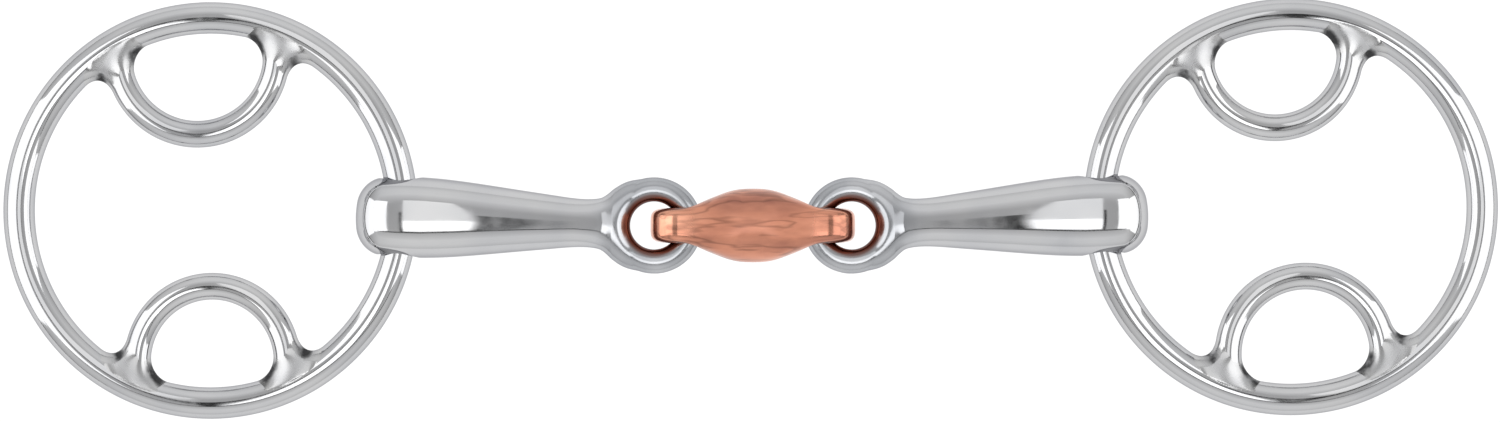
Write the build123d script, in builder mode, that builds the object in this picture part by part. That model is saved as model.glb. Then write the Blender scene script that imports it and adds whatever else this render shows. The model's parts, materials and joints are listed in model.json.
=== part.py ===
from build123d import *

import os
from math import acos, asin, cos, degrees, radians, sin, sqrt

# A double-jointed snaffle bit with loop rings, lying on a flat surface. Millimetres, +Z up.
# X runs along the mouthpiece, left to right. +Y is the side of the cheekpiece loops, and -Y
# the side of the rein loops. The origin is under the middle of the whole bit.

# Centre link: a copper alloy lozenge with an eye at each end.
link_half_length = 19.45
link_belly_radius = 6.9
link_eye_half_width = 3.32      # along the eye's hole
link_eye_radius = 5.6           # outside, in the link's side view
link_edge_radius = 1.6
link_hole_radius = 3.0
link_lip_depth = 1.7            # depth of the flared lip of the hole
link_lip_flare = 1.3
lip_overrun = 0.2               # a flared lip ends this far outside the surface it opens in

# Mouthpiece arms: tapered steel cannons, each with an eye for the link and a hole for the ring.
eye_centreline = 6.84
eye_wire = 4.6
eye_spacing = 37.5              # between the two eyes' centres
neck_radius = 4.57
cannon_radius = 7.7             # at its thickest
ring_hole_radius = 3.6
ring_hole_lip = 1.0
web_half_thickness = 1.9
eye_weld_angle = 100            # from straight outwards, round towards the rein loops
# The cannons are ground by hand, so they differ a little. Both are from the eye's centre.
ring_hole_distance = {"left": 48.3, "right": 47.5}
cannon_length = {"left": 57.0, "right": 56.5}

# Cheek rings and the loops welded inside them, all bent from round steel bar.
ring_centreline = 36.6
ring_bar = 6.0
loop_bar = 5.1
weld_radius = 3.6               # of the hollow corner
weld_cover = 0.15               # thickness of weld metal over the bars
weld_reach = 6.6                # how far the weld runs from its middle
weld_setback = 12.0             # its middle, in degrees along the loop from the ring's centreline
closing_weld_length = 1.2       # along the bar, in a ring and in a cannon's eye
ring_weld_angle = 2.8           # beyond the upper loop's line

# The loops are set by hand, so each one differs a little: its place as an angle from straight
# outwards, positive towards the cheekpiece side, its centre's distance from the ring's centre,
# and its centreline radius.
loop_settings = {
    ("left", "upper"): (83.3, 29.7, 15.1),
    ("left", "lower"): (-92.7, 28.7, 14.3),
    ("right", "upper"): (93.6, 29.6, 14.4),
    ("right", "lower"): (-86.7, 28.1, 14.8),
}

# How the bit lies: each arm turned a little in its eye, so that its outer end is nearer +Y.
arm_turn = {"left": 1.93, "right": 2.42}

# Worked out from the above.
outward_sign = {"left": -1, "right": 1}
axis_height = cannon_radius
link_eye_arc = link_half_length - link_eye_radius       # centre of the rounded end
eye_x = eye_spacing / 2
# A bent bar in a straight hole bows by this much, half to each side of the hole's axis.
eye_bow = eye_centreline - sqrt(eye_centreline**2 - link_eye_half_width**2)
ring_bow = ring_centreline - sqrt(ring_centreline**2 - cannon_radius**2)
fold_x = eye_x - eye_centreline + eye_bow / 2
ring_reach = ring_centreline - ring_bow / 2             # from the hole's axis to the ring's centre
# Each ring hangs in its hole until the far side of its bar rests on the surface.
ring_droop = asin((axis_height - ring_bar / 2) / (ring_reach + ring_centreline))
ring_offset = {side: distance + ring_reach * cos(ring_droop) for side, distance in ring_hole_distance.items()}
link_x = (ring_offset["left"] - ring_offset["right"]) / 2
link_y = -sum(ring_offset[side] * sin(radians(arm_turn[side])) for side in arm_turn) / 2


def arm_plane(side):
    """Eye centre of an arm: X outwards along the cannon, Z up."""
    turn = radians(arm_turn[side])
    outwards = Vector(outward_sign[side] * cos(turn), sin(turn), 0)
    centre = (link_x + outward_sign[side] * eye_x, link_y, axis_height)
    return Plane(origin=centre, x_dir=outwards, z_dir=(0, 0, 1))


def ring_plane(side):
    """Ring centre: X outwards in the ring's own plane, which droops about the cannon's hole."""
    arm = arm_plane(side)
    outwards = arm.x_dir * cos(ring_droop) - arm.z_dir * sin(ring_droop)
    centre = arm.origin + arm.x_dir * ring_hole_distance[side] + outwards * ring_reach
    return Plane(origin=centre, x_dir=outwards, z_dir=outwards.cross(arm.y_dir))


def direction(plane, angle):
    """Direction in the plane, at an angle from its X."""
    return plane.x_dir * cos(radians(angle)) + plane.y_dir * sin(radians(angle))


def bent_bar(plane, centreline, bar, start, arc):
    """Round bar bent about the plane's normal, from one angle through another."""
    outwards = direction(plane, start)
    section = Plane(origin=plane.origin, x_dir=outwards, z_dir=outwards.cross(plane.z_dir))
    with BuildPart() as bent:
        with BuildSketch(section):
            with Locations((centreline, 0)):
                Circle(bar / 2)
        revolve(axis=Axis(plane.origin, plane.z_dir), revolution_arc=arc)
    return bent.part


def flared_hole(centre, along, across, radius, half_wall, lip_depth, lip_flare):
    """Cutter for a straight round hole through a wall, with lips that open out."""
    lip_end = half_wall + lip_overrun
    lip_start = lip_end - lip_depth
    with BuildPart() as cutter:
        with BuildSketch(Plane(origin=centre, x_dir=along, z_dir=along.cross(across))):
            with BuildLine():
                Polyline((lip_start, radius), (-lip_start, radius))
                Spline(
                    (-lip_start, radius),
                    (-lip_end, radius + lip_flare),
                    tangents=((-1, 0), (-0.6, 1)),
                )
                Polyline(
                    (-lip_end, radius + lip_flare),
                    (-2 * lip_end, radius + lip_flare),
                    (-2 * lip_end, 0),
                    (2 * lip_end, 0),
                    (2 * lip_end, radius + lip_flare),
                    (lip_end, radius + lip_flare),
                )
                Spline(
                    (lip_end, radius + lip_flare),
                    (lip_start, radius),
                    tangents=((-0.6, -1), (-1, 0)),
                )
            make_face()
        revolve(axis=Axis(centre, along))
    return cutter.part


def make_centre_link():
    middle = Plane(origin=(link_x, link_y, axis_height))
    side_view = Plane(origin=middle.origin, x_dir=(1, 0, 0), z_dir=(0, -1, 0))
    holes = [
        flared_hole(
            middle.origin + Vector(sign * fold_x, 0, 0),
            Vector(0, 1, 0),
            Vector(1, 0, 0),
            link_hole_radius,
            link_eye_half_width,
            link_lip_depth,
            link_lip_flare,
        )
        for sign in (-1, 1)
    ]
    with BuildPart() as centre_link:
        # The two eyes and the bar between them, flat on the sides that the holes run through.
        with BuildSketch(side_view):
            SlotCenterToCenter(2 * link_eye_arc, 2 * link_eye_radius)
        extrude(amount=link_eye_half_width, both=True)
        fillet(centre_link.edges(), radius=link_edge_radius)
        # The round belly, which tapers into the eyes.
        with BuildSketch(side_view):
            with BuildLine():
                belly = Spline(
                    (0, link_belly_radius),
                    (5.2, 6.15),
                    (9.0, 4.55),
                    (12.9, 3.45),
                    tangents=((1, 0), (1, -0.15)),
                )
                Polyline(belly @ 1, (12.9, 0), (0, 0))
                mirror(about=Plane.YZ)
            make_face()
        revolve(axis=Axis(middle.origin, middle.x_dir))
        for hole in holes:
            add(hole, mode=Mode.SUBTRACT)
    centre_link.part.label = "centre_link"
    export_step(centre_link.part, "parts/centre_link.step")


def make_arm(side):
    """One cannon, and the weld that closes its eye around the link."""
    arm = arm_plane(side)
    # The eye is open by the weld's length, on the side of the rein loops.
    gap = degrees(closing_weld_length / eye_centreline)
    gap_start = -outward_sign[side] * eye_weld_angle - gap / 2
    ring_hole = flared_hole(
        arm.origin + arm.x_dir * ring_hole_distance[side],
        arm.y_dir,
        arm.x_dir,
        ring_hole_radius,
        cannon_radius,
        ring_hole_lip,
        ring_hole_lip,
    )
    eye = bent_bar(arm, eye_centreline, eye_wire, gap_start + gap, 360 - gap)
    with BuildPart() as cannon:
        # The web that widens the neck into the eye, thinner than the eye's wire.
        with BuildSketch(arm):
            with BuildLine():
                flare = Spline((2.6, 8.6), (5.7, 7.7), (8.5, 5.7), (13.3, 4.2))
                Polyline(flare @ 1, (13.3, -4.2))
                Spline((13.3, -4.2), (8.5, -5.7), (5.7, -7.7), (2.6, -8.6))
                Polyline((2.6, -8.6), (2.6, 8.6))
            make_face()
            Circle(eye_centreline, mode=Mode.SUBTRACT)
        extrude(amount=web_half_thickness, both=True)
        # The tapered cannon with its domed end, turned about its own line.
        with BuildSketch(Plane(origin=arm.origin, x_dir=arm.x_dir, z_dir=-arm.y_dir)):
            with BuildLine():
                taper = Spline(
                    (eye_centreline, 1.8),
                    (10.2, 3.7),
                    (13.3, neck_radius),
                    (24.7, 5.75),
                    (34.2, 6.9),
                    (44.5, cannon_radius),
                    (50.4, 7.5),
                    (53.4, 7.1),
                )
                end = cannon_length[side]
                dome = Spline(taper @ 1, (end - 0.8, 5.2), (end, 0), tangents=(taper % 1, (0, -1)))
                Polyline(dome @ 1, (eye_centreline, 0), taper @ 0)
            make_face()
        revolve(axis=Axis(arm.origin, arm.x_dir))
        add(eye)
        add(ring_hole, mode=Mode.SUBTRACT)
    cannon.part.label = f"{side}_cannon"
    export_step(cannon.part, f"parts/{side}_cannon.step")

    with BuildPart() as closing_weld:
        add(bent_bar(arm, eye_centreline, eye_wire, gap_start, gap))
    closing_weld.part.label = f"{side}_eye_closing_weld"
    export_step(closing_weld.part, f"parts/{side}_eye_closing_weld.step")


def make_loop(side, place):
    """One strap loop, cut to sit on its ring, and the two welds that hold it."""
    plane = ring_plane(side)
    ring_bar_whole = bent_bar(plane, ring_centreline, ring_bar, 0, 360)
    angle, distance, radius = loop_settings[side, place]
    angle *= outward_sign[side]
    # The loop's centreline is bent until it meets the ring's centreline.
    meeting = degrees(acos((ring_centreline**2 - distance**2 - radius**2) / (2 * distance * radius)))
    away = direction(plane, angle)
    loop_plane = Plane(origin=plane.origin + away * distance, x_dir=away, z_dir=plane.z_dir)
    loop_bar_whole = bent_bar(loop_plane, radius, loop_bar, meeting, 360 - 2 * meeting)

    with BuildPart() as loop:
        add(loop_bar_whole)
        add(ring_bar_whole, mode=Mode.SUBTRACT)
    loop.part.label = f"{side}_{place}_loop"
    export_step(loop.part, f"parts/{side}_{place}_loop.step")

    # The welds cover both bars near each end of the loop, and fill the corners between them.
    with BuildPart() as covered:
        add(bent_bar(plane, ring_centreline, ring_bar + 2 * weld_cover, 0, 360))
        add(bent_bar(loop_plane, radius, loop_bar + 2 * weld_cover, meeting, 360 - 2 * meeting))
        fillet(covered.edges().filter_by(GeomType.BSPLINE), radius=weld_radius)
    weld_angle = meeting + weld_setback
    ends = [loop_plane.origin + direction(loop_plane, sign * weld_angle) * radius for sign in (-1, 1)]
    inner_first = sorted(ends, key=lambda end: (end - plane.origin).dot(plane.x_dir))
    for name, end in zip(("inner", "outer"), inner_first):
        with BuildPart() as weld:
            with Locations(end):
                Sphere(weld_reach)
            add(covered.part, mode=Mode.INTERSECT)
            add(ring_bar_whole, mode=Mode.SUBTRACT)
            add(loop_bar_whole, mode=Mode.SUBTRACT)
        weld.part.label = f"{side}_{place}_weld_{name}"
        export_step(weld.part, f"parts/{side}_{place}_weld_{name}.step")


def make_ring(side):
    """One cheek ring, and the weld that closes it after it has gone through its cannon."""
    plane = ring_plane(side)
    gap = degrees(closing_weld_length / ring_centreline)
    upper_angle = loop_settings[side, "upper"][0]
    gap_start = outward_sign[side] * (upper_angle + ring_weld_angle) - gap / 2
    with BuildPart() as ring:
        add(bent_bar(plane, ring_centreline, ring_bar, gap_start + gap, 360 - gap))
    ring.part.label = f"{side}_cheek_ring"
    export_step(ring.part, f"parts/{side}_cheek_ring.step")

    with BuildPart() as closing_weld:
        add(bent_bar(plane, ring_centreline, ring_bar, gap_start, gap))
    closing_weld.part.label = f"{side}_ring_closing_weld"
    export_step(closing_weld.part, f"parts/{side}_ring_closing_weld.step")


os.makedirs("parts", exist_ok=True)
make_centre_link()
for side in ("left", "right"):
    make_arm(side)
    make_ring(side)
    for place in ("upper", "lower"):
        make_loop(side, place)
    hinge = arm_plane(side).origin + arm_plane(side).x_dir * ring_hole_distance[side]
    print(side, "fold at", link_x + outward_sign[side] * fold_x, link_y, axis_height, "about Y")
    print(side, "ring swings at", tuple(hinge), "about", tuple(arm_plane(side).y_dir))
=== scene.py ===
import json
import math

import bpy
import numpy as np
from mathutils import Matrix, Vector


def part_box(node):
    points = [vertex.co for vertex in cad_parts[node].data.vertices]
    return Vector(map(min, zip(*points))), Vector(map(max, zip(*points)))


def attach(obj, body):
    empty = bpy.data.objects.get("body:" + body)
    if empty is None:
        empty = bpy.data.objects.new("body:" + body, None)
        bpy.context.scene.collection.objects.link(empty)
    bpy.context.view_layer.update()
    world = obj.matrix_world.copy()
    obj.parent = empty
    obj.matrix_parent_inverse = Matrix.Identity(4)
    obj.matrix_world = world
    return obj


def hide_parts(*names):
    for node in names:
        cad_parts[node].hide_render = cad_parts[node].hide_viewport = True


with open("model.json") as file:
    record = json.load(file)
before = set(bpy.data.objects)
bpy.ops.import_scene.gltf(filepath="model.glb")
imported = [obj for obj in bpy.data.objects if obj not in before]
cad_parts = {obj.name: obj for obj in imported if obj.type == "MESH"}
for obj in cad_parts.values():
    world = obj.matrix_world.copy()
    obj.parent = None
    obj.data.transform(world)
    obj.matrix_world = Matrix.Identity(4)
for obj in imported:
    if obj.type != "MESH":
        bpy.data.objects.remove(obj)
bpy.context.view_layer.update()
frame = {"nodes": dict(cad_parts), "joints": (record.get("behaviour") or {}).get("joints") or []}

# A snaffle bit of polished steel with a copper link, seen from straight above on a white table.
# Every CAD piece is bent bar, a forging or a weld, and mirror polish shows each facet, so each
# is replaced by a finer mesh of the same shape, whose normals come from its own formula.

MM = 0.001
JOINTS = {joint["name"]: joint for joint in frame["joints"]}
OUTWARD_SIGN = {"left": -1, "right": 1}

# Where the fits of the rings and loops to their CAD pieces start: centreline and bar radius. A
# loop's centre is this much further out than its vertices' middle, because it is open outwards.
RING_GUESS = (36.6 * MM, 3 * MM)
LOOP_GUESS = (14.6 * MM, 2.55 * MM)
LOOP_CENTRE_GUESS = 1.12

# Cannon and its eye. X runs outwards from the eye's centre, Z is up.
EYE_CENTRELINE = 6.84 * MM
EYE_WIRE_RADIUS = 2.3 * MM
FOLD_TO_EYE = 6.41 * MM
CANNON_START = 0.5 * MM
CANNON_START_EDGE = 0.3 * MM
CANNON_PAST_HOLE = {"left": 8.35 * MM, "right": 8.85 * MM}
CANNON_DOME_RADIUS = 18 * MM
CANNON_DOME_EDGE = 2.8 * MM
RING_HOLE_RADIUS = 3.6 * MM
RING_HOLE_LIP = 0.7 * MM
# Along the cannon: the power of its section's superellipse, round at the neck and squarer where
# the ring goes through, and the radius of the hollow corner between cannon and eye.
CANNON_POWER = ((15 * MM, 44 * MM), (2.0, 2.55))
EYE_CORNER = ((2 * MM, 8 * MM), (0.1 * MM, 2.4 * MM))
# Half width in the plane of the eye, and half thickness across it, along the cannon, in mm.
CANNON_HALF_WIDTH = [
    (0.0, 6.9), (2.3, 7.35), (4.6, 7.4), (6.0, 6.95), (7.6, 6.05), (9.5, 5.1), (11.4, 4.66),
    (13.3, 4.57), (19.0, 5.07), (24.7, 5.75), (34.2, 6.9), (40.0, 7.46), (45.5, 7.69),
    (50.4, 7.52), (53.4, 7.15), (58.0, 6.2),
]
CANNON_HALF_THICKNESS = [
    (0.0, 1.6), (4.6, 1.9), (6.0, 2.15), (7.6, 2.5), (9.5, 2.95), (11.4, 3.4), (13.3, 3.75),
    (19.0, 4.62), (24.7, 5.46), (30.0, 6.22), (34.2, 6.78), (38.0, 7.2), (41.0, 7.46),
    (44.5, 7.66), (48.0, 7.57), (50.6, 7.2), (53.0, 6.55), (55.0, 5.75), (58.0, 4.1),
]
# The box that its field is meshed in, and the mesh's cell.
CANNON_BOX = ((-9.7 * MM, -9.7 * MM, -8.3 * MM), (57.4 * MM, 9.7 * MM, 8.3 * MM))
CANNON_CELL = 0.3 * MM
# The eye is rubbed dull out to here along the cannon, its colour darkened there as painted shade,
# and its inner wall is painted brown out to this radius as a painted reflection of the copper link.
EYE_DULL_END, EYE_DULL_FADE = 15 * MM, 7 * MM
COPPER_REFLECTION_END, COPPER_REFLECTION_FADE = 6.3 * MM, 0.6 * MM

# Link. X runs along it, Y along the holes of its eyes.
LINK_EYE_RADIUS = 5.6 * MM
LINK_HALF_LENGTH = 19.45 * MM
LINK_HOLE_RADIUS = 3.0 * MM
LINK_HOLE_LIP = 1.2 * MM
# The section's power, round at the belly and a slab with rounded edges at the eyes.
LINK_POWER = ((2 * MM, 13 * MM), (2.0, 4.5))
LINK_HALF_WIDTH = [
    (0.0, 7.0), (2.5, 6.88), (4.4, 6.5), (6.3, 5.85), (8.2, 5.1), (10.1, 4.4), (11.3, 3.98),
    (12.7, 3.62), (15.2, 3.4), (20.0, 3.32),
]
LINK_HALF_HEIGHT = [
    (0.0, 6.9), (3.0, 6.8), (6.0, 6.45), (9.0, 5.95), (12.0, 5.64), (13.9, 5.6), (20.0, 5.6),
]
LINK_BOX = ((-20 * MM, -7.6 * MM, -7.6 * MM), (20 * MM, 7.6 * MM, 7.6 * MM))
LINK_CELL = 0.25 * MM
# Its belly is dull, out to here from the middle.
LINK_DULL_END, LINK_DULL_FADE = 13 * MM, 3 * MM

# Ground welds that close the rings and the eyes.
CLOSING_WELD_LENGTH = 1.2 * MM
CLOSING_WELD_PROUD = 0.012 * MM

# Welds of a loop to its ring. The corner's radius is WELD_RADIUS times a share between the
# limits, and the share goes from the first value where the bars' surfaces face the same way, up
# by the second for every unit of 1 - cosine between them.
WELD_RADIUS = 3.8 * MM
WELD_SHARE = (0.2, 1.15)
WELD_SHARE_LIMITS = (0.04, 1.25)
# The share fades across this much of the ring's bar radius, this part of it outside the centreline.
WELD_FADE = 0.6
WELD_FADE_OUTSIDE = 0.6
# How deep its edges sink into the bars, its size from its middle, and half the box round it.
WELD_SINK = 0.004 * MM
WELD_REACH = 11.5 * MM
WELD_BOX = np.array((12, 12, 4)) * MM
WELD_CELL = 0.22 * MM
# Degrees along the loop, from where it meets the ring's centreline to the weld's middle.
WELD_ALONG_LOOP = 12
LOOP_END_EDGE = 1 * MM
# How fast a weld turns from bright at its edge to ground and to pitted. The pits fade as its
# surface turns upwards.
GROUND_RISE = 1.5
PITTED_RISE = 1.6
PITS_START, PITS_FADE = 2.1, 1.5

# In metres. The camera looks straight down, between the table and the lit ceiling. The view is
# this wide halfway up the bit.
TABLE_HEIGHT = -0.12
CAMERA_PLACE = (-0.00014, -0.00044, 1.8)
BIT_MIDDLE_HEIGHT = 0.006
VIEW_WIDTH = 0.285
CEILING = 2.4


# ---------------------------------------------------------------- frames and fits

def vertices_at_rest(piece):
    """A mesh object's vertices, in the row frame."""
    points = np.empty(len(piece.data.vertices) * 3)
    piece.data.vertices.foreach_get("co", points)
    return points.reshape(-1, 3)


def vertices_of(node):
    """A CAD node's vertices at rest, in the row frame."""
    return vertices_at_rest(frame["nodes"][node])


def place(origin, x_axis, z_axis):
    """Matrix from a piece's own axes to the row frame."""
    x_axis, z_axis = Vector(x_axis).normalized(), Vector(z_axis).normalized()
    y_axis = z_axis.cross(x_axis).normalized()
    z_axis = x_axis.cross(y_axis)
    matrix = Matrix((x_axis, y_axis, z_axis)).transposed().to_4x4()
    matrix.translation = origin
    return matrix


def moved(points, matrix):
    """Points through a 4 by 4 matrix."""
    matrix = np.array(matrix)
    return points @ matrix[:3, :3].T + matrix[:3, 3]


def least_squares(residual, guess, steps=12, nudge=1e-6):
    """Gauss-Newton from a guess that is already close."""
    guess = np.array(guess, float)
    for _ in range(steps):
        base = residual(guess)
        rises = [(residual(guess + nudge * unit) - base) / nudge for unit in np.eye(len(guess))]
        guess = guess - np.linalg.lstsq(np.stack(rises, 1), base, rcond=None)[0]
    return guess


def ring_frame(side):
    """The cheek ring's axes, X outwards in its own plane, with its centreline and bar radius."""
    points = vertices_of(f"{side}_cheek_ring")[::7]
    hinge = JOINTS[f"{side}_ring_swing"]
    low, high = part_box(f"{side}_cheek_ring")
    centre = (low + high) / 2
    across = Vector(hinge["axis"]).normalized()
    outwards = (centre - Vector(hinge["pos_m"])).normalized()
    upwards = outwards.cross(across)
    rough = place(centre, outwards, upwards if upwards.z > 0 else -upwards)
    local = moved(points, rough.inverted())

    def off_surface(guess):
        x, y, z, tilt_x, tilt_y, radius, bar = guess
        p = local - (x, y, z)
        height = p[:, 2] + p[:, 0] * tilt_x + p[:, 1] * tilt_y
        return np.hypot(np.hypot(p[:, 0], p[:, 1]) - radius, height) - bar

    fit = least_squares(off_surface, (0, 0, 0, 0, 0, *RING_GUESS))
    x, y, z, tilt_x, tilt_y, radius, bar = fit
    centre = rough @ Vector((x, y, z))
    normal = rough.to_3x3() @ Vector((tilt_x, tilt_y, 1))
    return place(centre, rough.col[0].xyz, normal), radius, bar


def loop_fit(side, which, ring):
    """A loop's centre in its ring's axes, its centreline radius and its bar radius."""
    matrix, ring_radius, ring_bar = ring
    local = moved(vertices_of(f"{side}_{which}_loop"), matrix.inverted())
    # Its cut ends lie on the ring, and are left out of the fit.
    local = local[torus(local, (0, 0), ring_radius, ring_bar) > 0.05 * MM][::5]

    def off_surface(guess):
        x, y, radius, bar = guess
        return torus(local, (x, y), radius, bar)

    start = local.mean(0)[:2] * LOOP_CENTRE_GUESS
    return least_squares(off_surface, (*start, *LOOP_GUESS))


def cubic(points):
    """Smooth curve through (x, y) points in millimetres, as a function in metres with its slope."""
    x, y = np.array(points, float).T * MM
    gap = np.diff(x)
    system = np.eye(len(x))
    right = np.zeros(len(x))
    for i in range(1, len(x) - 1):
        system[i, i - 1:i + 2] = gap[i - 1], 2 * (gap[i - 1] + gap[i]), gap[i]
        right[i] = 6 * ((y[i + 1] - y[i]) / gap[i] - (y[i] - y[i - 1]) / gap[i - 1])
    bend = np.linalg.solve(system, right)

    def curve(at):
        at = np.clip(at, x[0], x[-1])
        i = np.clip(np.searchsorted(x, at) - 1, 0, len(x) - 2)
        a, b, h = x[i + 1] - at, at - x[i], gap[i]
        value = (bend[i] * a**3 + bend[i + 1] * b**3) / (6 * h)
        value += (y[i] / h - bend[i] * h / 6) * a + (y[i + 1] / h - bend[i + 1] * h / 6) * b
        slope = (bend[i + 1] * b**2 - bend[i] * a**2) / (2 * h) + (y[i + 1] - y[i]) / h
        slope -= (bend[i + 1] - bend[i]) * h / 6
        return value, slope

    return curve


# ---------------------------------------------------------------- solids as distance fields

def rounded_union(a, b, radius):
    """Joins two solids with a hollow round corner."""
    u, v = np.maximum(radius - a, 0), np.maximum(radius - b, 0)
    return np.maximum(radius, np.minimum(a, b)) - np.hypot(u, v)


def rounded_cut(a, b, radius):
    """Keeps what is in both solids, with a round outer corner."""
    u, v = np.maximum(radius + a, 0), np.maximum(radius + b, 0)
    return np.minimum(-radius, np.maximum(a, b)) + np.hypot(u, v)


def torus(p, centre, radius, bar):
    """Distance from the surface of a round bar bent to a ring."""
    return np.hypot(np.hypot(p[:, 0] - centre[0], p[:, 1] - centre[1]) - radius, p[:, 2]) - bar


def torus_normal(p, centre, radius):
    """Which way is out of a round bar bent to a ring, at each point."""
    x, y, z = p[:, 0] - centre[0], p[:, 1] - centre[1], p[:, 2]
    never_zero = 1e-9
    across = np.hypot(x, y) + never_zero
    off = across - radius
    distance = np.hypot(off, z) + never_zero
    flat = off / (across * distance)
    return np.stack([x * flat, y * flat, z / distance], 1)


def surface_nets(field, low, high, cell):
    """Closed quad mesh where the field is zero, with one vertex in each cell that it crosses."""
    counts = np.ceil((np.array(high) - low) / cell).astype(int) + 1
    ticks = [start + cell * np.arange(count) for start, count in zip(low, counts)]
    grid = np.stack(np.meshgrid(*ticks, indexing="ij"), -1)
    values = field(grid.reshape(-1, 3)).reshape(counts)
    total = np.zeros(tuple(counts + 1) + (3,))
    number = np.zeros(tuple(counts + 1))
    edges = []
    for axis in range(3):
        near = [slice(None)] * 3
        far = [slice(None)] * 3
        near[axis], far[axis] = slice(None, -1), slice(1, None)
        a, b = values[tuple(near)], values[tuple(far)]
        at = np.nonzero((a < 0) != (b < 0))
        a, b = a[at], b[at]
        crossing = grid[at].copy()
        crossing[:, axis] += cell * a / (a - b)
        others = [i for i in range(3) if i != axis]
        around = []
        for first, second in ((0, 0), (1, 0), (1, 1), (0, 1)):
            # Cell (i, j, k) of these padded arrays is the one below grid point (i, j, k).
            corner = [at[0].copy(), at[1].copy(), at[2].copy()]
            corner[axis] += 1
            corner[others[0]] += first
            corner[others[1]] += second
            corner = tuple(corner)
            np.add.at(total, corner, crossing)
            np.add.at(number, corner, 1)
            around.append(corner)
        edges.append((around, (a < 0) == (axis != 1)))
    index = np.full(number.shape, -1)
    used = number > 0
    index[used] = np.arange(used.sum())
    points = total[used] / number[used][:, None]
    faces = []
    for around, upright in edges:
        quad = np.stack([index[corner] for corner in around], 1)
        quad[~upright] = quad[~upright][:, ::-1]
        faces.append(quad)
    return points, np.concatenate(faces)


def slopes(field, points, step=0.01 * MM):
    """The field's gradient at each point."""
    rises = [field(points + step * unit) - field(points - step * unit) for unit in np.eye(3)]
    return np.stack(rises, 1) / (2 * step)


def mesh_piece(name, points, faces, normals, matrix):
    """A smooth mesh object with the given normals, moved from its own axes to the row frame."""
    mesh = bpy.data.meshes.new(name)
    mesh.from_pydata(moved(points, matrix).tolist(), [], faces)
    mesh.polygons.foreach_set("use_smooth", [True] * len(mesh.polygons))
    turn = np.array(matrix)[:3, :3]
    mesh.normals_split_custom_set_from_vertices((normals @ turn.T).tolist())
    piece = bpy.data.objects.new(name, mesh)
    bpy.context.scene.collection.objects.link(piece)
    return piece


def field_piece(name, field, low, high, cell, matrix, steps=5):
    """The solid inside a distance field, with its vertices drawn exactly onto the surface."""
    points, faces = surface_nets(field, np.array(low, float), np.array(high, float), cell)
    for _ in range(steps):
        slope = slopes(field, points)
        points = points - slope * (field(points) / np.maximum((slope**2).sum(1), 1e-6))[:, None]
    slope = slopes(field, points)
    normals = slope / np.linalg.norm(slope, axis=1)[:, None]
    return mesh_piece(name, points, faces.tolist(), normals, matrix)


def bar_piece(name, matrix, centre, radius, bar, start, arc, around, across=64):
    """Round bar bent through an arc about Z, or a whole ring. Angles are in degrees."""
    whole = arc >= 360
    rows = around if whole else around + 1
    along = np.radians(start + arc * np.arange(rows) / around)
    turn = 2 * np.pi * np.arange(across) / across
    outwards = np.stack([np.cos(along), np.sin(along), 0 * along], 1)
    normals = np.cos(turn)[None, :, None] * outwards[:, None, :]
    normals = normals + np.sin(turn)[None, :, None] * np.array((0, 0, 1.0))
    points = (outwards[:, None, :] * radius + normals * bar).reshape(-1, 3) + (*centre, 0)
    normals = normals.reshape(-1, 3)
    i, j = np.meshgrid(np.arange(around), np.arange(across), indexing="ij")
    following, beside = (i + 1) % rows, (j + 1) % across
    here, ahead = i * across, following * across
    quads = np.stack([here + j, ahead + j, ahead + beside, here + beside], -1)
    faces = quads.reshape(-1, 4).tolist()
    if not whole:
        faces += [list(range(across)), [around * across + k for k in reversed(range(across))]]
    return mesh_piece(name, points, faces, normals, matrix)


# ---------------------------------------------------------------- materials

def new_material(name):
    """A material with its nodes, its links and its shader."""
    material = bpy.data.materials.new(name)
    material.use_nodes = True
    nodes, links = material.node_tree.nodes, material.node_tree.links
    return material, nodes, links, nodes["Principled BSDF"]


def matt(name, shade):
    """A matt grey material with its shader."""
    material, _, _, shader = new_material(name)
    shader.inputs["Base Color"].default_value = (*grey(shade), 1)
    shader.inputs["Roughness"].default_value = 0.9
    return material, shader


def noise(nodes, links, scale, detail=3.0, stretch=(1, 1, 1)):
    """Noise in object space, in features per metre, stretched along an axis by a smaller factor."""
    coordinates = nodes.new("ShaderNodeTexCoord")
    mapping = nodes.new("ShaderNodeMapping")
    mapping.inputs["Scale"].default_value = stretch
    links.new(coordinates.outputs["Object"], mapping.inputs["Vector"])
    texture = nodes.new("ShaderNodeTexNoise")
    texture.inputs["Scale"].default_value = scale
    texture.inputs["Detail"].default_value = detail
    links.new(mapping.outputs["Vector"], texture.inputs["Vector"])
    return texture.outputs["Fac"]


def ramp(nodes, links, source, stops):
    """Colour ramp over a 0 to 1 value."""
    node = nodes.new("ShaderNodeValToRGB")
    elements = node.color_ramp.elements
    while len(elements) < len(stops):
        elements.new(0.5)
    for element, (position, colour) in zip(elements, stops):
        element.position = position
        element.color = (*colour, 1)
    links.new(source, node.inputs["Fac"])
    return node.outputs["Color"]


def bump(nodes, links, height, strength, distance, normal=None):
    """A bump from a height, this far in metres from 0 to 1, on top of another one's normal."""
    node = nodes.new("ShaderNodeBump")
    node.inputs["Strength"].default_value = strength
    node.inputs["Distance"].default_value = distance
    links.new(height, node.inputs["Height"])
    if normal is not None:
        links.new(normal, node.inputs["Normal"])
    return node.outputs["Normal"]


def grey(value):
    return (value, value, value)


def attribute(nodes, name):
    """What paint() wrote into the mesh."""
    node = nodes.new("ShaderNodeAttribute")
    node.attribute_name = name
    return node.outputs["Fac"]


def calculate(nodes, links, operation, *terms):
    """A math node over numbers and sockets."""
    node = nodes.new("ShaderNodeMath")
    node.operation = operation
    for socket, term in zip(node.inputs, terms):
        if isinstance(term, (int, float)):
            socket.default_value = term
        else:
            links.new(term, socket)
    return node.outputs[0]


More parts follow.
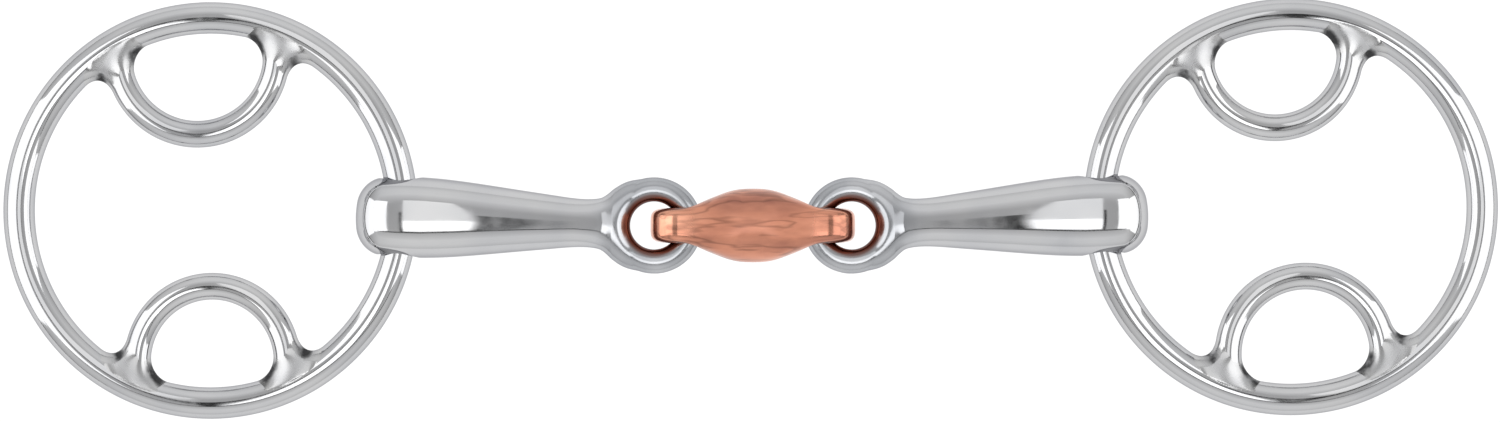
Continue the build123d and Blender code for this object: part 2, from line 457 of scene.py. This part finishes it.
def mix(nodes, links, how, factor, a, b):
    """Colours a and b, mixed by a factor."""
    node = nodes.new("ShaderNodeMix")
    node.data_type = "RGBA"
    node.blend_type = how
    for name, term in (("Factor", factor), ("A", a), ("B", b)):
        if isinstance(term, (float, tuple)):
            node.inputs[name].default_value = term
        else:
            links.new(term, node.inputs[name])
    return node.outputs["Result"]


STEEL_EDGE = (0.55, 0.55, 0.57, 1)
# Brown painted on the eye's inner wall: a painted reflection of the copper link.
COPPER_REFLECTION_PAINT = (0.16, 0.09, 0.078, 1)
MOPPED_TINT = (0.84, 0.845, 0.86, 1)


def polished_steel():
    """Mirror polish, duller where it is rubbed and darkened there as painted shade, and painted
    brown as a painted reflection of the copper link.
    """
    material, nodes, links, shader = new_material("polished_steel")
    shader.inputs["Metallic"].default_value = 1.0
    shader.inputs["Specular Tint"].default_value = STEEL_EDGE
    cloud = noise(nodes, links, 90, 2.0)
    # Painted shade: where the eye is rubbed, its colour is also darkened, in place of the darker
    # reflection over it.
    shade = calculate(nodes, links, "MULTIPLY_ADD", attribute(nodes, "dull"), -0.45, cloud)
    steel = ramp(nodes, links, shade, [
        (0.0, (0.40, 0.41, 0.43)), (0.3, (0.52, 0.525, 0.54)), (0.7, (0.575, 0.575, 0.58)),
    ])
    # Painted reflection: the eye's inner wall is painted brown like the copper link it faces.
    painted_copper_reflection = mix(nodes, links, "MIX", attribute(nodes, "painted_copper_reflection"), steel, COPPER_REFLECTION_PAINT)
    links.new(painted_copper_reflection, shader.inputs["Base Color"])
    smear = noise(nodes, links, 260, 4.0)
    shine = ramp(nodes, links, smear, [(0.35, grey(0.05)), (0.75, grey(0.12))])
    dull = calculate(nodes, links, "MULTIPLY", attribute(nodes, "dull"), 0.1)
    links.new(calculate(nodes, links, "ADD", shine, dull), shader.inputs["Roughness"])
    wave = noise(nodes, links, 70, 1.0)
    normal = bump(nodes, links, wave, 0.3, 0.15 * MM)
    links.new(normal, shader.inputs["Normal"])
    return material


def weld_steel():
    """Polished over, with pits and dark patches left in the corner."""
    material, nodes, links, shader = new_material("weld_steel")
    shader.inputs["Metallic"].default_value = 1.0
    shader.inputs["Specular Tint"].default_value = STEEL_EDGE
    corner = attribute(nodes, "corner")
    spots = calculate(nodes, links, "MULTIPLY", corner, noise(nodes, links, 1300, 4.0))
    patches = calculate(nodes, links, "MULTIPLY", corner, noise(nodes, links, 330, 3.0))
    ground = attribute(nodes, "ground")
    tone = ramp(nodes, links, patches, [
        (0.0, grey(0.55)), (0.26, grey(0.48)), (0.38, grey(0.22)), (0.5, grey(0.07)),
    ])
    # Ground and mopped rather than bright, except at its edge.
    mopped = mix(nodes, links, "MULTIPLY", ground, tone, MOPPED_TINT)
    links.new(mopped, shader.inputs["Base Color"])
    shine = ramp(nodes, links, patches, [(0.1, grey(0.07)), (0.5, grey(0.28))])
    roughness = calculate(nodes, links, "MULTIPLY_ADD", ground, 0.22, shine)
    links.new(roughness, shader.inputs["Roughness"])
    pits = ramp(nodes, links, spots, [(0.4, grey(1)), (0.58, grey(0))])
    normal = bump(nodes, links, noise(nodes, links, 150, 2.0), 0.4, 0.2 * MM)
    normal = bump(nodes, links, pits, 0.7, 0.25 * MM, normal)
    links.new(normal, shader.inputs["Normal"])
    return material


def copper_alloy():
    """Blotched copper under a thin gloss, with dark lines drawn along it."""
    material, nodes, links, shader = new_material("copper_alloy")
    shader.inputs["Metallic"].default_value = 1.0
    shader.inputs["Coat Weight"].default_value = 0.5
    shader.inputs["Coat Roughness"].default_value = 0.2
    patch = noise(nodes, links, 120, 4.0, (0.4, 1, 1))
    tone = ramp(nodes, links, patch, [
        (0.34, (0.39, 0.15, 0.1)), (0.5, (0.64, 0.265, 0.165)), (0.68, (0.85, 0.4, 0.26)),
    ])
    drawn = noise(nodes, links, 210, 3.0, (0.16, 1, 1))
    lines = ramp(nodes, links, drawn, [
        (0.40, grey(1)), (0.43, grey(0.62)), (0.46, grey(0.95)),
        (0.55, grey(1)), (0.575, grey(0.72)), (0.60, grey(1)),
    ])
    colour = mix(nodes, links, "MULTIPLY", 1.0, tone, lines)
    links.new(colour, shader.inputs["Base Color"])
    fine = noise(nodes, links, 900, 3.0, (0.1, 1, 1))
    shine = ramp(nodes, links, fine, [(0.3, grey(0.12)), (0.7, grey(0.2))])
    dull = calculate(nodes, links, "MULTIPLY", attribute(nodes, "dull"), 0.22)
    links.new(calculate(nodes, links, "ADD", shine, dull), shader.inputs["Roughness"])
    normal = bump(nodes, links, fine, 0.2, 0.06 * MM)
    links.new(normal, shader.inputs["Normal"])
    return material


MATERIALS = {make.__name__: make() for make in (polished_steel, weld_steel, copper_alloy)}


def paint(piece, name, values):
    """A 0 to 1 value at each vertex, for the material."""
    layer = piece.data.attributes.new(name, "FLOAT", "POINT")
    layer.data.foreach_set("value", np.clip(values, 0, 1).astype(np.float32))


def fit_out(piece, body, slot, *nodes):
    """Material, body and the CAD nodes that the piece stands for."""
    piece.data.materials.append(MATERIALS[slot])
    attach(piece, body)
    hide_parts(*nodes)


# ---------------------------------------------------------------- the pieces

def arm_matrix(side):
    """The eye's centre, with X along the cannon."""
    fold = Vector(JOINTS[f"{side}_fold"]["pos_m"])
    eye = fold + Vector((OUTWARD_SIGN[side] * FOLD_TO_EYE, 0, 0))
    return place(eye, Vector(JOINTS[f"{side}_ring_swing"]["pos_m"]) - eye, (0, 0, 1))


def fading(distance, end, fade):
    """1 or more near, down to 0 at the end of the fade."""
    return (end - distance) / fade


def paint_eye_wear_shade_and_reflection(piece, matrix):
    """The link rubs the eye dull, its colour is darkened there as painted shade, and its inner wall
    is painted brown as a painted reflection of the copper link.
    """
    x, y, _ = moved(vertices_at_rest(piece), matrix.inverted()).T
    # Painted shade as well as wear: the rubbed part is rougher and also darker in colour.
    paint(piece, "dull", fading(x, EYE_DULL_END, EYE_DULL_FADE))
    # Painted reflection of the copper link, brown on the eye's inner wall.
    paint(piece, "painted_copper_reflection", fading(np.hypot(x, y), COPPER_REFLECTION_END, COPPER_REFLECTION_FADE))


def closing_weld(name, matrix, radius, bar):
    """A ground weld across a bent bar, where the CAD has it, which stands a hair proud."""
    x, y, _ = moved(vertices_of(name), matrix.inverted()).mean(0)
    middle = math.degrees(math.atan2(y, x))
    arc = math.degrees(CLOSING_WELD_LENGTH / radius)
    return bar_piece(f"{name}_fine", matrix, (0, 0), radius, bar + CLOSING_WELD_PROUD,
                     start=middle - arc / 2, arc=arc, around=6)


def make_arm(side):
    """The cannon with its eye, and the weld that closes the eye."""
    matrix = arm_matrix(side)
    ring_hole = Vector(JOINTS[f"{side}_ring_swing"]["pos_m"])
    hole_distance = (ring_hole - matrix.translation).length
    half_width, half_thickness = cubic(CANNON_HALF_WIDTH), cubic(CANNON_HALF_THICKNESS)
    dome_centre = hole_distance + CANNON_PAST_HOLE[side] - CANNON_DOME_RADIUS

    def field(p):
        x, y, z = p.T
        wide, wide_slope = half_width(x)
        thick, thick_slope = half_thickness(x)
        power = np.interp(x, *CANNON_POWER)
        reach = (np.abs(y / wide) ** power + np.abs(z / thick) ** power) ** (1 / power)
        steep = np.hypot(1, (wide_slope + thick_slope) / 2)
        taper = (reach - 1) * np.minimum(wide, thick) / steep
        dome = np.hypot(np.maximum(x - dome_centre, 0), np.hypot(y, z)) - CANNON_DOME_RADIUS
        cannon = rounded_cut(taper, dome, CANNON_DOME_EDGE)
        # Towards the link it ends inside the eye's wire.
        cannon = rounded_cut(cannon, EYE_CENTRELINE - np.hypot(x, y), CANNON_START_EDGE)
        cannon = rounded_cut(cannon, CANNON_START - x, CANNON_START_EDGE)
        eye = torus(p, (0, 0), EYE_CENTRELINE, EYE_WIRE_RADIUS)
        whole = rounded_union(cannon, eye, np.interp(x, *EYE_CORNER))
        hole = np.hypot(x - hole_distance, z) - RING_HOLE_RADIUS
        return rounded_cut(whole, -hole, RING_HOLE_LIP)

    cannon = field_piece(f"{side}_cannon_fine", field, *CANNON_BOX, CANNON_CELL, matrix)
    paint_eye_wear_shade_and_reflection(cannon, matrix)
    fit_out(cannon, f"{side}_arm", "polished_steel", f"{side}_cannon")
    weld = closing_weld(f"{side}_eye_closing_weld", matrix, EYE_CENTRELINE, EYE_WIRE_RADIUS)
    paint_eye_wear_shade_and_reflection(weld, matrix)
    fit_out(weld, f"{side}_arm", "polished_steel", f"{side}_eye_closing_weld")


def make_link():
    """The link, the same on both sides of its middle. Its left fold mirrors the right one."""
    low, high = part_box("centre_link")
    centre = (low + high) / 2
    matrix = place(centre, (1, 0, 0), (0, 0, 1))
    fold_x = Vector(JOINTS["right_fold"]["pos_m"]).x - centre.x
    half_width, half_height = cubic(LINK_HALF_WIDTH), cubic(LINK_HALF_HEIGHT)
    eye_arc = LINK_HALF_LENGTH - LINK_EYE_RADIUS

    def field(p):
        x, y, z = np.abs(p).T
        wide, _ = half_width(x)
        tall, _ = half_height(x)
        power = np.interp(x, *LINK_POWER)
        beside = y / wide
        past_eye = np.maximum(x - eye_arc, 0)
        above = np.hypot(past_eye, z * LINK_EYE_RADIUS / tall) / LINK_EYE_RADIUS
        whole = ((beside**power + above**power) ** (1 / power) - 1) * wide
        hole = np.hypot(x - fold_x, z) - LINK_HOLE_RADIUS
        return rounded_cut(whole, -hole, LINK_HOLE_LIP)

    piece = field_piece("centre_link_fine", field, *LINK_BOX, LINK_CELL, matrix)
    from_middle = np.abs(vertices_at_rest(piece)[:, 0] - centre.x)
    paint(piece, "dull", fading(from_middle, LINK_DULL_END, LINK_DULL_FADE))
    fit_out(piece, "centre_link", "copper_alloy", "centre_link")


def make_weld(side, which, ring, loop, angle):
    """The weld between a loop and the ring, at an angle round the loop's centre."""
    matrix, ring_radius, ring_bar = ring
    x, y, radius, bar = loop
    middle = np.array((x + radius * math.cos(angle), y + radius * math.sin(angle), 0))

    def distances(p):
        """From the ring's bar, and from the loop's, which ends inside it."""
        past_ring = np.hypot(p[:, 0], p[:, 1]) - ring_radius
        to_loop = rounded_cut(torus(p, (x, y), radius, bar), past_ring, LOOP_END_EDGE)
        return torus(p, (0, 0), ring_radius, ring_bar), to_loop

    def corner_radius(p):
        """The corner is filled more, the more the two bars face each other there."""
        ring_normal = torus_normal(p, (0, 0), ring_radius)
        loop_normal = torus_normal(p, (x, y), radius)
        facing = 1 - (ring_normal * loop_normal).sum(1)
        within = ring_radius - np.hypot(p[:, 0], p[:, 1])
        inside = np.clip(within / (WELD_FADE * ring_bar) + WELD_FADE_OUTSIDE, 0, 1)
        least, rise = WELD_SHARE
        return WELD_RADIUS * np.clip(inside * (rise * facing + least), *WELD_SHARE_LIMITS)

    def field(p):
        to_ring, to_loop = distances(p)
        corner = corner_radius(p)
        # The weld dives under the bars where its hollow corner meets them.
        dive = WELD_SINK + np.maximum(np.maximum(to_ring, to_loop) - corner, 0)
        return np.maximum(rounded_union(to_ring, to_loop, corner) + dive,
                          np.linalg.norm(p - middle, axis=1) - WELD_REACH)

    name = f"{side}_{which}_weld_{'outer' if middle[0] > 0 else 'inner'}"
    box = middle - WELD_BOX, middle + WELD_BOX
    weld = field_piece(f"{name}_fine", field, *box, WELD_CELL, matrix)
    points = moved(vertices_at_rest(weld), matrix.inverted())
    furthest = np.maximum(*distances(points))
    # The wheel has ground most of the corner, and left pits where its walls are steep.
    paint(weld, "ground", GROUND_RISE * (1 - furthest / corner_radius(points)))
    upright = np.abs(slopes(field, points)[:, 2])
    steep = np.clip(PITS_START - PITS_FADE * upright, 0, 1)
    paint(weld, "corner", PITTED_RISE * (1 - furthest / WELD_RADIUS) * steep)
    fit_out(weld, f"{side}_cheek", "weld_steel", name)


def make_loop(side, which, ring):
    """One strap loop, whose ends are inside the ring's bar, and the welds at both ends."""
    matrix, ring_radius, _ = ring
    loop = loop_fit(side, which, ring)
    x, y, radius, bar = loop
    distance = math.hypot(x, y)
    # Round the loop's centre: the direction away from the ring's centre, and how far from that
    # the two centrelines meet.
    away = math.degrees(math.atan2(y, x))
    cosine = (ring_radius**2 - distance**2 - radius**2) / (2 * distance * radius)
    meeting = math.degrees(math.acos(cosine))
    piece = bar_piece(f"{side}_{which}_loop_fine", matrix, (x, y), radius, bar,
                      start=away + meeting, arc=360 - 2 * meeting, around=180)
    fit_out(piece, f"{side}_cheek", "polished_steel", f"{side}_{which}_loop")
    for sign in (-1, 1):
        angle = math.radians(away + sign * (meeting + WELD_ALONG_LOOP))
        make_weld(side, which, ring, loop, angle)


def make_cheek(side):
    """The ring, its two loops with their welds, and the weld that closes the ring."""
    ring = ring_frame(side)
    matrix, radius, bar = ring
    piece = bar_piece(f"{side}_cheek_ring_fine", matrix, (0, 0), radius, bar,
                      start=0, arc=360, around=480)
    fit_out(piece, f"{side}_cheek", "polished_steel", f"{side}_cheek_ring")
    for which in ("upper", "lower"):
        make_loop(side, which, ring)
    weld = closing_weld(f"{side}_ring_closing_weld", matrix, radius, bar)
    fit_out(weld, f"{side}_cheek", "polished_steel", f"{side}_ring_closing_weld")


make_link()
for side in OUTWARD_SIGN:
    make_arm(side)
    make_cheek(side)


# ---------------------------------------------------------------- table, lights and camera

def make_table():
    """A lit table, far enough down that the folded cannons and hanging rings clear it."""
    bpy.ops.mesh.primitive_plane_add(size=8, location=(0, 0, TABLE_HEIGHT))
    table = bpy.context.object
    table.name = "table"
    material, shader = matt("white_table", 0.22)
    shader.inputs["Emission Color"].default_value = (1, 1, 1, 1)
    shader.inputs["Emission Strength"].default_value = 0.82
    table.data.materials.append(material)


def soft_light(name, at, size, power, aim):
    """A rectangular soft box, which the camera doesn't see itself."""
    light = bpy.data.lights.new(name, "AREA")
    light.shape = "RECTANGLE"
    light.size, light.size_y = size
    light.energy = power
    lamp = bpy.data.objects.new(name, light)
    bpy.context.scene.collection.objects.link(lamp)
    lamp.location = at
    lamp.rotation_euler = (Vector(aim) - Vector(at)).to_track_quat("-Z", "Y").to_euler()
    lamp.visible_camera = False


def black_card(name, at, size, turn=0.0):
    """A card that puts a dark line into the polish. Flat overhead, or upright when turned."""
    bpy.ops.mesh.primitive_plane_add(size=1, location=at, rotation=(0, math.radians(turn), 0))
    card = bpy.context.object
    card.name = name
    card.scale = (*size, 1)
    card.data.materials.append(BLACK)
    card.visible_camera = False


def make_tent():
    """White cloth all round the bit, which is darkest near its open top."""
    world = bpy.data.worlds.new("tent")
    bpy.context.scene.world = world
    world.use_nodes = True
    nodes, links = world.node_tree.nodes, world.node_tree.links
    coordinates = nodes.new("ShaderNodeTexCoord")
    split = nodes.new("ShaderNodeSeparateXYZ")
    links.new(coordinates.outputs["Generated"], split.inputs["Vector"])
    x, _, z = split.outputs
    height = ramp(nodes, links, z, [
        (0.0, grey(0.85)), (0.3, grey(1.0)), (0.6, grey(1.02)),
        (0.8, grey(0.8)), (0.9, grey(0.63)), (1.0, grey(0.61)),
    ])
    # Greyer to the left and right, round the boxes.
    sideways = calculate(nodes, links, "POWER", calculate(nodes, links, "ABSOLUTE", x), 2)
    cloth = calculate(nodes, links, "MULTIPLY_ADD", sideways, -0.45, height)
    links.new(cloth, nodes["Background"].inputs["Color"])
    nodes["Background"].inputs["Strength"].default_value = 1.0


def make_camera():
    """Straight above the bit, far enough away that its two ends look alike."""
    camera = bpy.data.cameras.new("camera")
    camera.sensor_width = 36
    camera.lens = camera.sensor_width * (CAMERA_PLACE[2] - BIT_MIDDLE_HEIGHT) / VIEW_WIDTH
    camera.clip_end = 20
    eye = bpy.data.objects.new("camera", camera)
    bpy.context.scene.collection.objects.link(eye)
    eye.location = CAMERA_PLACE
    bpy.context.scene.camera = eye


BLACK, _ = matt("black_card", 0.02)

make_table()
make_tent()
soft_light("top_back_box", (0, 0.64, CEILING), (0.95, 1.52), 3.0, (0, 0.64, 0))
soft_light("top_front_box", (0, -0.56, CEILING), (0.95, 0.88), 4.2, (0, -0.56, 0))
black_card("front_card", (0, -1.18, CEILING), (4.4, 0.14))
for side, sign in OUTWARD_SIGN.items():
    soft_light(f"{side}_low_box", (sign * 0.5, 0, 0.15), (0.45, 0.26), 0.46, (0, 0, 0.15))
    soft_light(f"{side}_high_box", (sign * 0.45, 0.02, 0.445), (0.52, 0.34), 0.72,
               (sign * 0.09, 0.02, 0))
    black_card(f"{side}_card", (sign * 0.505, 0, 0.004), (0.024, 1.1), 90)
    black_card(f"{side}_top_card", (sign * 0.56, -0.45, CEILING), (0.09, 1.3))
make_camera()
bpy.context.scene.view_settings.view_transform = "Standard"
